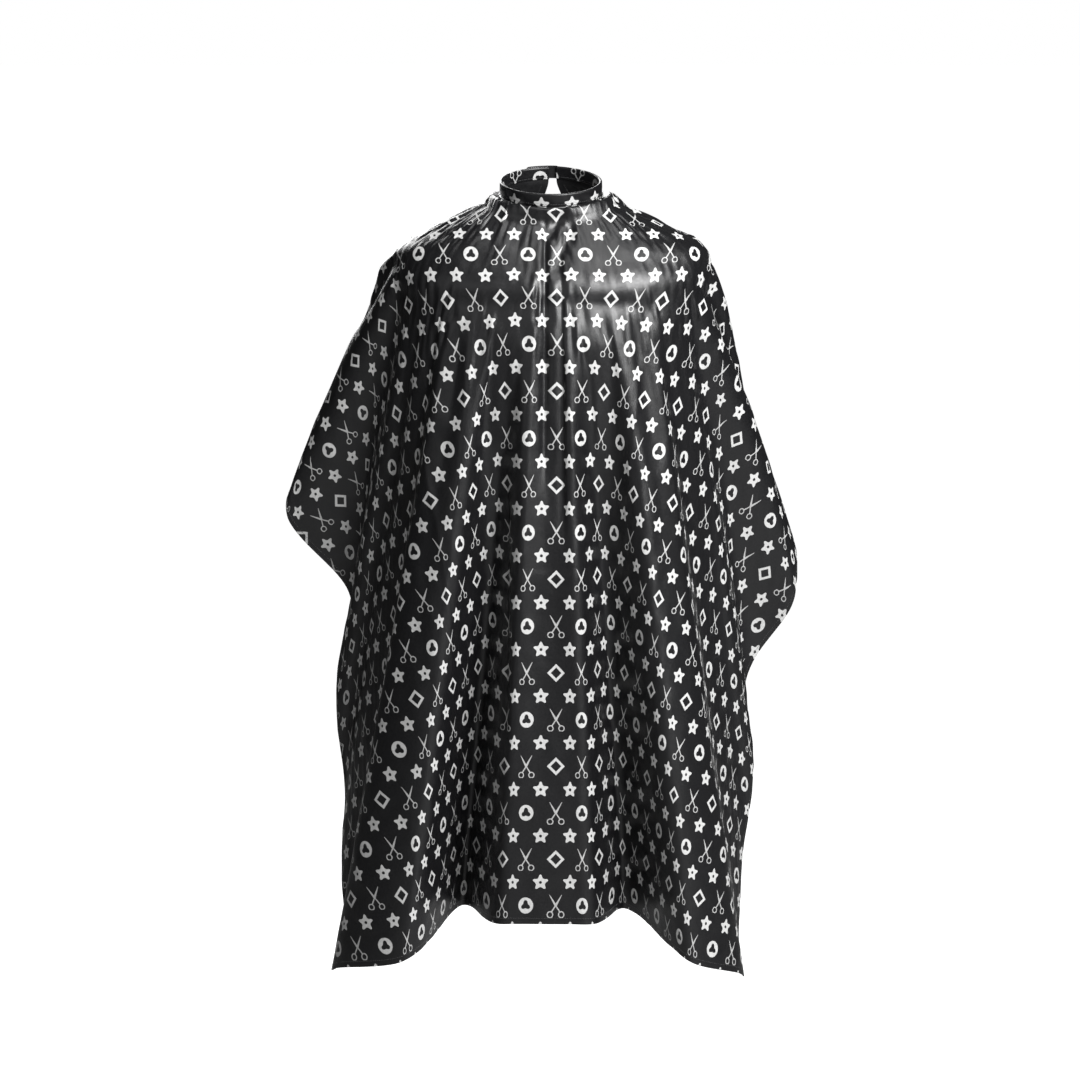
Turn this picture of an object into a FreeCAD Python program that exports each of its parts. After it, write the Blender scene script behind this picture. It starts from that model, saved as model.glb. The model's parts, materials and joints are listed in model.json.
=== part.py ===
"""Barber cape: one cloth hung from a neckband that closes at the back with hook-and-loop tape.

Millimetres. The origin is the centre of the neckband's top edge, +Z is up and the wearer faces -Y.
The neckband leans forward by neck_tilt, so the neck parts are drawn about their own vertical axis
and then tilted about X. Azimuth around the neck counts from the centre front, positive to +X.
The cloth is a rectangle with a neck scoop in its top edge, worn so that the two halves of that
edge meet at the centre back. A rib is the line that runs on the cloth from the neck to the hem.
"""

import FreeCAD, Part
import math
import os

import Sketcher
from FreeCAD import Placement, Rotation, Vector

doc = FreeCAD.newDocument("barber_cape")
sheet = doc.addObject("Spreadsheet::Sheet", "dims")

DIMENSIONS = [
    # neckband, as radii about the neck axis and heights along it
    ("neck_tilt", 12),
    ("band_inner", 62),
    ("band_height", 16),
    ("ply", 0.8),
    ("cavity", 2.4),
    ("interlining_gap", 0.2),
    ("interlining_thick", 0.5),
    ("interlining_height", 13),
    ("thread_wide", 0.5),
    ("thread_gap", 0.08),
    ("thread_drop", 13.4),
    # where the band folds open, and the gap between its lengths
    ("fold_azimuth", 124),
    ("fold_gap", 1),
    ("spiral_shift", 15.7),
    ("right_end_azimuth", 174),
    ("left_end_azimuth", 178),
    # closure
    ("tab_root_azimuth", 176.5),
    ("tab_end_azimuth", 208),
    ("tab_radius", 69.6),
    ("tab_thick", 1.6),
    ("tape_thick", 1),
    ("tape_gap", 0.1),
    ("tape_inset", 1),
    ("loop_start_azimuth", 182.5),
    ("loop_end_azimuth", 234),
    ("hook_start_azimuth", 184),
    ("hook_end_azimuth", 206),
    # cloth
    ("cloth_width", 1236),
    ("cloth_drop", 1088),
    ("corner_round", 100),
    ("cloth_thick", 0.9),
    ("cloth_radius", 64.35),
    ("cloth_inside_band", 7),
    ("band_clearance", 5),
    ("neck_bend", 3),
    ("yoke_bend", 60),
    ("edge_angle_left", 88.6),
    ("edge_angle_right", 86.8),
    ("fold_relief", 0.4),
    ("fold_ease", 4),
    ("cut_angle", 63),
    ("cut_start", 13),
    ("cut_depth", 45),
    ("cut_gap", 3),
    ("yoke_gap_angle", 0.8),
    # label and hem thread
    ("label_angle", 70),
    ("label_wide", 4.5),
    ("label_start", 150),
    ("label_long", 45),
    ("label_thick", 0.4),
    ("inside_gap", 1.3),
    ("hem_turn", 10),
    ("hem_thread_wide", 0.8),
]

# Ribs: angle on the flat cloth from the centre front, then the point where the cloth leaves
# the shoulders (x, y, z) and the point it hangs to at the hem (x, y).
RIBS = [
    ("back_edge_left", -90, -24, 97, -52, -62, 128),
    ("back_left", -79, -90, 84, -53, -190, 122),
    ("sleeve_tip_left", -60, -214, 16, -78, -358, 75),
    ("valley_left", -48, -202, -34, -86, -275, 68),
    ("side_left", -39, -174, -70, -98, -283, 62),
    ("corner_left", -30.5, -139, -95, -116, -276, 0),
    ("edge_fold_left", -26, -119, -105, -126, -287, -72),
    ("flute_left", -20, -92, -115, -138, -195, -158),
    ("pleat_left", -10, -46, -127, -148, -118, -35),
    ("centre_left", -3.5, -16, -130, -151, -60, -160),
    ("centre_right", 3, 14, -130, -151, 48, -162),
    ("pleat_right", 9, 42, -127, -148, 100, -50),
    ("flute_right", 20, 92, -115, -138, 185, -155),
    ("edge_fold_right", 26, 119, -105, -126, 252, -80),
    ("corner_right", 30.5, 139, -95, -116, 252, -5),
    ("side_right", 36, 165, -78, -101, 264, 52),
    ("valley_right", 42, 190, -52, -92, 268, 58),
    ("sleeve_tip_right", 50, 214, -14, -84, 328, 70),
    ("back_right", 78, 94, 83, -53, 195, 122),
    ("back_edge_right", 90, 24, 97, -52, 62, 128),
]
RIB_FIELDS = ("angle", "x_yoke", "y_yoke", "z_yoke", "x_hem", "y_hem")

for row, (name, value) in enumerate(DIMENSIONS, start=1):
    sheet.set(f"A{row}", name)
    sheet.set(f"B{row}", str(value))
    sheet.setAlias(f"B{row}", name)
for row, (name, *values) in enumerate(RIBS, start=1):
    sheet.set(f"D{row}", name)
    for column, field, value in zip("EFGHIJ", RIB_FIELDS, values):
        sheet.set(f"{column}{row}", str(value))
        sheet.setAlias(f"{column}{row}", f"{name}_{field}")
doc.recompute()


def dim(name):
    """A driving dimension, read from the spreadsheet."""
    return float(sheet.get(name))


NECK_FRAME = Placement(Vector(), Rotation(Vector(1, 0, 0), dim("neck_tilt")))
HALF_CUT_GAP = 0.5 * dim("cut_gap")


# Where the cloth's surface is sampled: ribs over the whole panel, ribs over each corner beside the
# closure, and rows along a rib, as distances from its start and then as shares of what is left.
PANEL_RIBS = 151
YOKE_RIBS = 13
BAND_ROWS = [0, 2.5, 5, 7.5, 10, 12.5, 15.5, 20, 28, 40]
SHOULDER_ROWS = [58 + 18 * k for k in range(8)] + [210, 245]
HANGING_SHARES = [0.2, 0.4, 0.6, 0.8, 1]
YOKE_SHARES = [0.1, 0.25, 0.45, 0.7, 1]
LABEL_SHARES = [0.25, 0.5, 0.75, 1]


# ---------------------------------------------------------------- neck parts (PartDesign)

def origin_plane(body, role):
    return next(f for f in body.Origin.OriginFeatures if f.Role == role)


def arc_body(label, corners, start, sweep, shifted=False):
    """A body that sweeps a closed outline about the neck axis.

    corners holds (radius, height) expressions over the sheet's names. The sweep starts at azimuth
    start and covers sweep degrees. A shifted body turns about an axis further from the right fold
    line, so that the right length of the band runs outwards and its end overlaps the left one.
    """
    body = doc.addObject("PartDesign::Body", label)
    body.Label = label
    sketch = body.newObject("Sketcher::SketchObject", label + "_outline")
    sketch.AttachmentSupport = [(origin_plane(body, "XZ_Plane"), "")]
    sketch.MapMode = "FlatFace"
    count = len(corners)
    radius = dim("band_inner")
    turns = [2 * math.pi * k / count for k in range(count)]
    places = [Vector(radius + math.cos(turn), math.sin(turn), 0) for turn in turns]
    for k in range(count):
        sketch.addGeometry(Part.LineSegment(places[k], places[(k + 1) % count]))
    for k in range(count):
        sketch.addConstraint(Sketcher.Constraint("Coincident", k, 2, (k + 1) % count, 1))
    away = " + dims.spiral_shift" if shifted else ""
    for k, (reach, height) in enumerate(corners):
        for kind, expression in (("DistanceX", reach + away), ("DistanceY", height)):
            index = sketch.addConstraint(Sketcher.Constraint(kind, -1, 1, k, 1, 1.0))
            sketch.setExpression(f"Constraints[{index}]", expression)
    turn = body.newObject("PartDesign::Revolution", label + "_sweep")
    turn.Profile = sketch
    turn.ReferenceAxis = (sketch, ["V_Axis"])
    turn.setExpression("Angle", sweep)
    fold = math.radians(dim("fold_azimuth") - 90)
    shift = dim("spiral_shift") if shifted else 0.0
    offset = Vector(-shift * math.cos(fold), -shift * math.sin(fold), 0)
    local = Placement(offset, Rotation(Vector(0, 0, 1), start - 90))
    body.Placement = NECK_FRAME.multiply(local)
    return body


def rectangle(inner, outer, low, high):
    return [(inner, low), (outer, low), (outer, high), (inner, high)]


def band_outline():
    """The strip folded over the neckline: two plies joined by the fold along the top."""
    inner = "dims.band_inner"
    outer = "dims.band_inner + 2 * dims.ply + dims.cavity"
    low = "-dims.band_height"
    return [
        (inner, low),
        (inner + " + dims.ply", low),
        (inner + " + dims.ply", "-dims.ply"),
        (inner + " + dims.ply + dims.cavity", "-dims.ply"),
        (inner + " + dims.ply + dims.cavity", low),
        (outer, low),
        (outer, "0"),
        (inner, "0"),
    ]


def interlining_outline():
    inner = "dims.band_inner + dims.ply + dims.interlining_gap"
    top = "-dims.ply - dims.interlining_gap"
    return rectangle(inner, inner + " + dims.interlining_thick", top + " - dims.interlining_height", top)


def thread_outline():
    inner = "dims.band_inner + 2 * dims.ply + dims.cavity + dims.thread_gap"
    return rectangle(inner, inner + " + dims.thread_wide",
                     "-dims.thread_drop - dims.thread_wide", "-dims.thread_drop")


def band_length(side, start, sweep, shifted=False):
    """One length of the neckband with the interlining inside it and the thread along its seam."""
    arc_body(f"neckband_{side}", band_outline(), start, sweep, shifted)
    arc_body(f"interlining_{side}", interlining_outline(), start, sweep, shifted)
    arc_body(f"neckband_stitching_{side}", thread_outline(), start, sweep, shifted)


def fold_gap_angle():
    """Half the gap between two lengths of the band, as an angle at the band."""
    return math.degrees(0.5 * dim("fold_gap") / dim("cloth_radius"))


def spiral_azimuth(azimuth):
    """Turns an azimuth about the neck into one about the right length's shifted axis."""
    reach = ring_radius(azimuth, dim("cloth_radius"))
    turn = math.radians(azimuth - dim("fold_azimuth"))
    shift = dim("spiral_shift")
    across, along = reach * math.sin(turn), reach * math.cos(turn) + shift
    return dim("fold_azimuth") + math.degrees(math.atan2(across, along))


def ring_radius(azimuth, radius):
    """Radius from the neck axis, which grows along the right length of the band."""
    turn = math.radians(azimuth - dim("fold_azimuth"))
    if turn <= 0:
        return radius
    shift = dim("spiral_shift")
    return math.sqrt((radius + shift) ** 2 - (shift * math.sin(turn)) ** 2) - shift * math.cos(turn)


def neckband():
    fold, gap = dim("fold_azimuth"), fold_gap_angle()
    half = f"{fold_gap_angle():.6f}"
    band_length("front", -fold + gap, f"2 * dims.fold_azimuth - 2 * {half}")
    band_length("left", -dim("left_end_azimuth"), f"dims.left_end_azimuth - dims.fold_azimuth - {half}")
    end = spiral_azimuth(dim("right_end_azimuth"))
    band_length("right", fold + gap, f"{end - fold - gap:.6f}", shifted=True)


def closure():
    """The free end of the band, the hook patch inside it and the loop strip it presses on."""
    thick = "dims.tab_thick / 2"
    tab = rectangle("dims.tab_radius - " + thick, "dims.tab_radius + " + thick, "-dims.band_height", "0")
    tab_sweep = "dims.tab_end_azimuth - dims.tab_root_azimuth"
    arc_body("closure_tab", tab, dim("tab_root_azimuth"), tab_sweep)
    low, high = "-dims.band_height + dims.tape_inset", "-dims.tape_inset"
    hook_outer = "dims.tab_radius - " + thick + " - dims.tape_gap"
    hook = rectangle(hook_outer + " - dims.tape_thick", hook_outer, low, high)
    hook_sweep = "dims.hook_end_azimuth - dims.hook_start_azimuth"
    arc_body("hook_patch", hook, dim("hook_start_azimuth"), hook_sweep)
    loop_inner = "dims.band_inner + 2 * dims.ply + dims.cavity + dims.thread_gap"
    loop_low = "-dims.thread_drop + dims.tape_gap"
    loop = rectangle(loop_inner, loop_inner + " + dims.tape_thick", loop_low, high)
    loop_sweep = "dims.loop_end_azimuth - dims.loop_start_azimuth"
    arc_body("loop_strip", loop, dim("loop_start_azimuth"), loop_sweep)
    thread_inner = "dims.tab_radius + " + thick + " + dims.thread_gap"
    thread = rectangle(thread_inner, thread_inner + " + dims.thread_wide",
                       "-dims.thread_drop - dims.thread_wide", "-dims.thread_drop")
    arc_body("tab_stitching", thread, dim("hook_start_azimuth"), hook_sweep)


# ---------------------------------------------------------------- cloth (Part surfaces)

def neck_point(azimuth, height):
    """A point on the cloth's middle layer where it is held by, or leaves, the neckband."""
    radius = ring_radius(azimuth, dim("cloth_radius"))
    turn = math.radians(azimuth)
    return NECK_FRAME.multVec(Vector(radius * math.sin(turn), -radius * math.cos(turn), height))


def rib_slope(angles, values, place):
    """Slope through a named rib, level where the values turn back, as a monotone cubic needs."""
    if place in (0, len(values) - 1):
        return 0.0
    before, after = angles[place] - angles[place - 1], angles[place + 1] - angles[place]
    rise_before = (values[place] - values[place - 1]) / before
    rise_after = (values[place + 1] - values[place]) / after
    if rise_before * rise_after <= 0:
        return 0.0
    weight_before, weight_after = 2 * after + before, after + 2 * before
    return (weight_before + weight_after) / (weight_before / rise_before + weight_after / rise_after)


def rib_places(angle):
    """Yoke point and hem x, y of the rib at a flat angle, run smoothly through the named ribs."""
    names = [rib[0] for rib in RIBS]
    angles = [dim(name + "_angle") for name in names]
    place = max(k for k in range(len(angles) - 1) if angles[k] <= angle or k == 0)
    step = angles[place + 1] - angles[place]
    share = (angle - angles[place]) / step
    smooth = share * share * (3 - 2 * share)
    values = []
    for field in RIB_FIELDS[1:]:
        run = [dim(f"{name}_{field}") for name in names]
        low, high = rib_slope(angles, run, place), rib_slope(angles, run, place + 1)
        value = run[place] + (run[place + 1] - run[place]) * smooth
        value += step * share * (1 - share) * (low * (1 - share) - high * share)
        values.append(value)
    return Vector(*values[:3]), values[3], values[4]


def flat_reach(angle):
    """Distance on the flat cloth from the neck centre to its outer edge, corners rounded."""
    across = abs(math.sin(math.radians(angle)))
    down = abs(math.cos(math.radians(angle)))
    half, drop, rounding = 0.5 * dim("cloth_width"), dim("cloth_drop"), dim("corner_round")
    reach = min(half / max(across, 1e-9), drop / max(down, 1e-9))
    if reach * across > half - rounding and reach * down > drop - rounding:
        x_centre, y_centre = half - rounding, drop - rounding
        along = across * x_centre + down * y_centre
        reach = along + math.sqrt(along ** 2 - x_centre ** 2 - y_centre ** 2 + rounding ** 2)
    return reach


def rib_length(angle):
    """Length of cloth on a rib from the neckline to the edge."""
    return flat_reach(angle) - 2 * dim("cloth_radius")


def eased(distance, corner, width):
    """Zero before a corner and rising one for one after it, with the bend spread over width."""
    value = 0.5 * (distance - corner + math.hypot(distance - corner, width))
    return value - 0.5 * (-corner + math.hypot(corner, width))


def rib_point(angle, distance):
    """Point of the cloth's middle layer at a distance along the rib from the neckline."""
    azimuth = 2 * angle
    top = neck_point(azimuth, -dim("band_height") + dim("cloth_inside_band"))
    bottom = neck_point(azimuth, -dim("band_height") - dim("band_clearance"))
    yoke, x_hem, y_hem = rib_places(angle)
    held = (bottom - top).Length
    spread = (yoke - bottom).Length
    hang = rib_length(angle) - held - spread
    x_run, y_run = x_hem - yoke.x, y_hem - yoke.y
    fall = math.sqrt(hang ** 2 - x_run ** 2 - y_run ** 2)
    down = (bottom - top).normalize()
    out = (yoke - bottom).normalize()
    hanging = Vector(x_run, y_run, -fall).normalize()
    after_band = eased(distance, held, dim("neck_bend"))
    after_yoke = eased(distance, held + spread, dim("yoke_bend"))
    return top + down * (distance - after_band) + out * (after_band - after_yoke) + hanging * after_yoke


def cloth_normal(angle, distance):
    """Unit normal of the cloth, pointing outwards, from its slopes over a small step each way."""
    step = 0.05
    along = rib_point(angle, distance + step) - rib_point(angle, distance - step)
    across = rib_point(angle + step, distance) - rib_point(angle - step, distance)
    return along.cross(across).normalize()


def flat_edge_point(angle):
    turn = math.radians(angle)
    return flat_reach(angle) * math.sin(turn), flat_reach(angle) * math.cos(turn)


def edge_angles(first, last, count, by_edge=0.6, fine=400):
    """Flat angles between two limits, spaced partly evenly by angle and partly evenly by edge."""
    angles = [first + (last - first) * k / fine for k in range(fine + 1)]
    points = [flat_edge_point(angle) for angle in angles]
    run = [0.0]
    for before, after in zip(points, points[1:]):
        run.append(run[-1] + math.dist(before, after))
    run = [by_edge * r / run[-1] + (1 - by_edge) * k / fine for k, r in enumerate(run)]
    chosen, place = [], 0
    for k in range(count):
        target = k / (count - 1)
        while place < fine - 1 and run[place + 1] < target:
            place += 1
        share = (target - run[place]) / (run[place + 1] - run[place])
        chosen.append(angles[place] + (angles[place + 1] - angles[place]) * min(share, 1.0))
    return chosen


def clamped_knots(count, degree):
    """Even knots and their multiplicities for a curve with this many poles."""
    spans = count - degree
    return list(range(spans + 1)), [degree + 1] + [1] * (spans - 1) + [degree + 1]


def smooth_surface(poles):
    """A surface drawn smoothly by a grid of poles, which it touches along its four edges' ends."""
    degrees = [min(3, len(poles) - 1), min(3, len(poles[0]) - 1)]
    knots_u, multiples_u = clamped_knots(len(poles), degrees[0])
    knots_v, multiples_v = clamped_knots(len(poles[0]), degrees[1])
    surface = Part.BSplineSurface()
    surface.buildFromPolesMultsKnots(poles, multiples_u, multiples_v, knots_u, knots_v,
                                     False, False, degrees[0], degrees[1])
    return surface


def cloth_sheet(label, angles, rows, offset, thick):
    """A closed sheet that follows the cloth over a fan of ribs.

    rows gives the distances along the rib at an angle, and offset moves the sheet's middle layer
    outwards from the cloth's.
    """
    outer, inner = [], []
    for angle in angles:
        points = [rib_point(angle, row) for row in rows(angle)]
        normals = [cloth_normal(angle, row) for row in rows(angle)]
        outer.append([p + n * (offset + 0.5 * thick) for p, n in zip(points, normals)])
        inner.append([p + n * (offset - 0.5 * thick) for p, n in zip(points, normals)])
    walls = [[outer[side], inner[side]] for side in (0, -1)]
    walls += [[[rib[side] for rib in layer] for layer in (outer, inner)] for side in (0, -1)]
    faces = [smooth_surface(grid).toShape() for grid in [outer, inner] + walls]
    shell = Part.makeShell(faces)
    shell.sewShape()
    solid = Part.Solid(shell)
    if solid.Volume < 0:
        solid.reverse()
    piece = doc.addObject("Part::Feature", label)
    piece.Label = label
    piece.Shape = solid
    return piece


def cut_line(angle):
    """Distance along a rib at which the cloth beside the closure stops turning with the band."""
    past = (abs(angle) - dim("cut_angle")) / (90 - dim("cut_angle"))
    return dim("cut_start") + dim("cut_depth") * max(past, 0.0) ** 2


def panel_start(angle):
    """The cape panel starts inside the front band, and below the cut line past the fold."""
    fold = 0.5 * dim("fold_azimuth") - dim("fold_relief")
    if abs(angle) >= fold:
        return cut_line(angle) + HALF_CUT_GAP
    share = max(1 - (fold - abs(angle)) / dim("fold_ease"), 0.0)
    return (dim("cut_start") + HALF_CUT_GAP) * share * share * (3 - 2 * share)


def spread_rows(low, high, near, shares):
    """Distances along a rib: close ones after the start, then shares of what is left."""
    rows = [low + distance for distance in near]
    return rows + [rows[-1] + (high - rows[-1]) * share for share in shares]


def hem_angles():
    return edge_angles(-dim("edge_angle_left"), dim("edge_angle_right"), PANEL_RIBS)


def panel_rows(angle):
    """Rows close together at the band, even over the shoulders and wide down to the hem."""
    end = rib_length(angle)
    near = BAND_ROWS + SHOULDER_ROWS
    return spread_rows(panel_start(angle), end - dim("hem_turn"), near, HANGING_SHARES) + [end]


def yoke_rows(angle):
    return spread_rows(0.0, cut_line(angle) - HALF_CUT_GAP, BAND_ROWS[:5], YOKE_SHARES)


def cape_cloth():
    """The cape panel, and the two corners beside the closure that turn with the band's ends."""
    thick = dim("cloth_thick")
    cloth_sheet("cape_panel", hem_angles(), panel_rows, 0.0, thick)
    start = dim("cut_angle") + dim("yoke_gap_angle")
    for side, turn in (("left", -1), ("right", 1)):
        end = dim(f"edge_angle_{side}")
        spread = [turn * (start + (end - start) * k / (YOKE_RIBS - 1)) for k in range(YOKE_RIBS)]
        cloth_sheet(f"back_yoke_{side}", sorted(spread), yoke_rows, 0.0, thick)


def care_label():
    """A blank label sewn flat against the inside of the cloth at the left back."""
    middle, half = -dim("label_angle"), 0.5 * dim("label_wide")
    angles = [middle + half * share for share in (-1, -0.5, 0, 0.5, 1)]
    offset = -0.5 * dim("cloth_thick") - dim("inside_gap") - 0.5 * dim("label_thick")
    start = dim("label_start")
    rows = spread_rows(start, start + dim("label_long"), [0], LABEL_SHARES)
    cloth_sheet("care_label", angles, lambda angle: rows, offset, dim("label_thick"))


def hem_stitching():
    """The thread that holds the turned hem, along the sides and the bottom edge."""
    wide = dim("hem_thread_wide")
    thick = 0.5 * wide
    offset = -0.5 * dim("cloth_thick") - dim("inside_gap") - 0.5 * thick

    def rows(angle):
        seam = rib_length(angle) - dim("hem_turn")
        return [seam - wide, seam]

    cloth_sheet("hem_stitching", hem_angles()[1:-1], rows, offset, thick)


# ---------------------------------------------------------------- build and write

neckband()
closure()
cape_cloth()
care_label()
hem_stitching()
doc.recompute()

for item in doc.Objects:
    if "Invalid" in item.State or "Error" in item.State:
        raise RuntimeError(f"{item.Label} failed: {item.State}")

pieces = [item for item in doc.Objects if item.TypeId in ("PartDesign::Body", "Part::Feature")]
for piece in pieces:
    if piece.Shape.isNull() or not piece.Shape.isValid():
        raise RuntimeError(f"{piece.Label} has no valid shape")

os.makedirs("parts", exist_ok=True)
for piece in pieces:
    piece.Shape.exportStep(f"parts/{piece.Label}.step")
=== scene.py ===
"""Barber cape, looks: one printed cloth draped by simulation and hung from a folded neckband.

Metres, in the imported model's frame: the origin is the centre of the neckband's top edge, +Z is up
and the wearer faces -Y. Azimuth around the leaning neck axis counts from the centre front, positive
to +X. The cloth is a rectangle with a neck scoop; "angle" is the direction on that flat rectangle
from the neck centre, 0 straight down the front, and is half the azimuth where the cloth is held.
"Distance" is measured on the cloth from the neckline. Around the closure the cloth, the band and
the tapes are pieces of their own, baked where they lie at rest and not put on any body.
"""

import json
import math

import bpy
import numpy as np
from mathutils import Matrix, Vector, noise

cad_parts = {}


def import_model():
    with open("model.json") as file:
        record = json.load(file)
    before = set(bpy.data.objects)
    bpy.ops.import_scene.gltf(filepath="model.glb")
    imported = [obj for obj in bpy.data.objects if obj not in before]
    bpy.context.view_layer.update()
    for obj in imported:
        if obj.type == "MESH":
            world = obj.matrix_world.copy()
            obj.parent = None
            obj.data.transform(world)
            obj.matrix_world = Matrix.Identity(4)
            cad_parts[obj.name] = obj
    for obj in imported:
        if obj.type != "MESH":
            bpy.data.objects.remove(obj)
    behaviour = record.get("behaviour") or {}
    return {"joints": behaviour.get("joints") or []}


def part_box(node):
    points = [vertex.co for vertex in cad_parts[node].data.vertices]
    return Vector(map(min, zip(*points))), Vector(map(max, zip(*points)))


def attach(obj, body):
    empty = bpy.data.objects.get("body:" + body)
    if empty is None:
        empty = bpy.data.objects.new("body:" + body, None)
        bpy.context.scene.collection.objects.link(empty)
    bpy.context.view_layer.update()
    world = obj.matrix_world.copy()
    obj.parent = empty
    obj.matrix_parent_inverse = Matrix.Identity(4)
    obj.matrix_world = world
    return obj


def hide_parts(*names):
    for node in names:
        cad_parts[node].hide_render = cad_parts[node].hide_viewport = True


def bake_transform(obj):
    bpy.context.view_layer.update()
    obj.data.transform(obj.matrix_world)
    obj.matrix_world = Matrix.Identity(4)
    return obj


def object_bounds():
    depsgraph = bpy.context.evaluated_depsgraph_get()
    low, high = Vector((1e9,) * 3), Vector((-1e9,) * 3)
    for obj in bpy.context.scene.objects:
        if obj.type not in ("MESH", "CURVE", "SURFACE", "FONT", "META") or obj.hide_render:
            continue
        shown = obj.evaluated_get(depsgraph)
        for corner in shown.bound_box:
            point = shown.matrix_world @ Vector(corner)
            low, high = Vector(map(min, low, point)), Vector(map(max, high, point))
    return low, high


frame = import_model()
cad_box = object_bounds()
joints = {joint["name"]: joint for joint in frame["joints"]}
MM = 0.001


# ---------------- measures

# Neckband, as radii about the neck axis and heights along it
TILT = math.asin(joints["neck_open_right"]["axis"][1])
BAND_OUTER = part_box("neckband_front")[1].x
BAND_THICK = 4 * MM
BAND_MIDDLE = BAND_OUTER - BAND_THICK / 2
BAND_HIGH = 16 * MM
PLY = 0.8 * MM
SEAM_HEIGHT = -13.6 * MM
SEAM_GROOVE = 0.22 * MM
FOLD_AZIMUTH = 124.0
LEFT_END_AZIMUTH = 178.0
RIGHT_END_AZIMUTH = 174.0
SPLIT_AZIMUTH = 116.0
SPIRAL_SHIFT = 15.7 * MM
INTERLINING_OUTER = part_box("interlining_front")[1].x
INTERLINING_THICK = 0.5 * MM
INTERLINING_HIGH = 13 * MM
INTERLINING_TOP = -1.6 * MM

# Closure
TAB_RADIUS = 69.6 * MM
TAB_THICK = 1.6 * MM
TAB_AZIMUTHS = (173.0, 208.0)
TAB_BEND_AZIMUTHS = (177.0, 190.0)
TAB_CORNER = 5 * MM
TAB_JOIN_LIFT = 0.45 * MM
TAB_JOIN_TURN = 5.0
HOOK_AZIMUTHS = (184.0, 206.0)
HOOK_BASE_RADIUS = 68.5 * MM
LOOP_AZIMUTHS = (182.5, 234.0)
LOOP_BASE_RADIUS = 66.3 * MM
TAPE_BASE = 0.45 * MM
HOOK_HEIGHTS = (-15 * MM, -1 * MM)
LOOP_HEIGHTS = (-13 * MM, -1 * MM)
PILE_PITCH = 1.1 * MM
PILE_INSET = 0.6
PILE_THREAD = 0.09 * MM

# Cloth
RIM_BULGE = 0.35
CLOTH_RADIUS = BAND_MIDDLE + 0.35 * MM
CLOTH_THICK = 0.8 * MM
CLOTH_HALF_WIDE = 618 * MM
CLOTH_DROP = 1088 * MM
CLOTH_CORNER = 100 * MM
ANGLE_LEFT, ANGLE_RIGHT = -88.6, 86.8
SCOOP = 2 * CLOTH_RADIUS
HELD_TOP = -9 * MM
HELD_BOTTOM = -21 * MM
HELD = HELD_TOP - HELD_BOTTOM
NECK_BEND = 3 * MM
TAB_PRINT_START = SCOOP - HELD_TOP + 17 * MM
YOKE_BEND = 50 * MM
HEM_TURN = 10 * MM
HEM_PLY = 0.7 * MM
PATCH_ANGLE = SPLIT_AZIMUTH / 2
PATCH_LONG = 0.26

# Care label
LABEL_ANGLE = -70.0
LABEL_HALF_ANGLE = 2.25
LABEL_START = 150 * MM
LABEL_LONG = 45 * MM
LABEL_WIDE = 26 * MM
LABEL_THICK = 0.5 * MM
LABEL_GAP = 0.2 * MM
LABEL_WAVE = 0.25 * MM

# Ribs of the drape, millimetres: angle, then where the cloth leaves the shoulders (x, y, z) and
# the point it hangs towards at the hem (x, y). They are the ribs of the CAD cloth.
RIBS = np.array([
    (-90, -24, 97, -52, -62, 128),
    (-79, -90, 84, -53, -190, 122),
    (-60, -214, 16, -78, -358, 75),
    (-48, -202, -34, -86, -275, 68),
    (-39, -174, -70, -98, -283, 62),
    (-30.5, -139, -95, -116, -276, 0),
    (-26, -119, -105, -126, -287, -72),
    (-20, -92, -115, -138, -195, -158),
    (-10, -46, -127, -148, -118, -35),
    (-3.5, -16, -130, -151, -60, -160),
    (3, 14, -130, -151, 48, -162),
    (9, 42, -127, -148, 100, -50),
    (20, 92, -115, -138, 185, -155),
    (26, 119, -105, -126, 252, -80),
    (30.5, 139, -95, -116, 252, -5),
    (36, 165, -78, -101, 264, 52),
    (42, 190, -52, -92, 268, 58),
    (50, 214, -14, -84, 328, 70),
    (78, 94, 83, -53, 195, 122),
    (90, 24, 97, -52, 62, 128),
])

# Body under the cloth, for the simulation only: height, half width and half depth
TORSO = np.array([
    (0.100, 0.050, 0.050),
    (-0.015, 0.052, 0.048),
    (-0.036, 0.080, 0.052),
    (-0.054, 0.122, 0.063),
    (-0.073, 0.163, 0.077),
    (-0.084, 0.185, 0.085),
    (-0.094, 0.195, 0.092),
    (-0.120, 0.199, 0.110),
    (-0.200, 0.186, 0.122),
    (-0.300, 0.175, 0.115),
    (-0.450, 0.160, 0.085),
    (-0.600, 0.165, 0.065),
    (-0.660, 0.150, 0.060),
])


# ---------------- neck geometry

def stacked(*parts):
    """Arrays side by side on a new last axis."""
    return np.stack(np.broadcast_arrays(*parts), axis=-1)


def neck(azimuth, radius, height):
    """Points about the leaning neck axis, for azimuths in degrees."""
    turn = np.radians(azimuth)
    x = radius * np.sin(turn)
    y = -radius * np.cos(turn)
    leaned_y = y * math.cos(TILT) - height * math.sin(TILT)
    leaned_z = y * math.sin(TILT) + height * math.cos(TILT)
    return stacked(x, leaned_y, leaned_z)


def ring(azimuth, radius):
    """Radius from the neck axis, which grows along the right length so that it overlaps the left."""
    turn = np.radians(np.maximum(azimuth - FOLD_AZIMUTH, 0.0))
    far = radius + SPIRAL_SHIFT
    return np.sqrt(far ** 2 - (SPIRAL_SHIFT * np.sin(turn)) ** 2) - SPIRAL_SHIFT * np.cos(turn)


# ---------------- mesh tools

def ease(value):
    share = np.clip(value, 0.0, 1.0)
    return share * share * (3 - 2 * share)


def unit(vectors):
    return vectors / np.maximum(np.linalg.norm(vectors, axis=-1, keepdims=True), 1e-12)


def add_object(name, data):
    thing = bpy.data.objects.new(name, data)
    bpy.context.scene.collection.objects.link(thing)
    return thing


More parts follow.
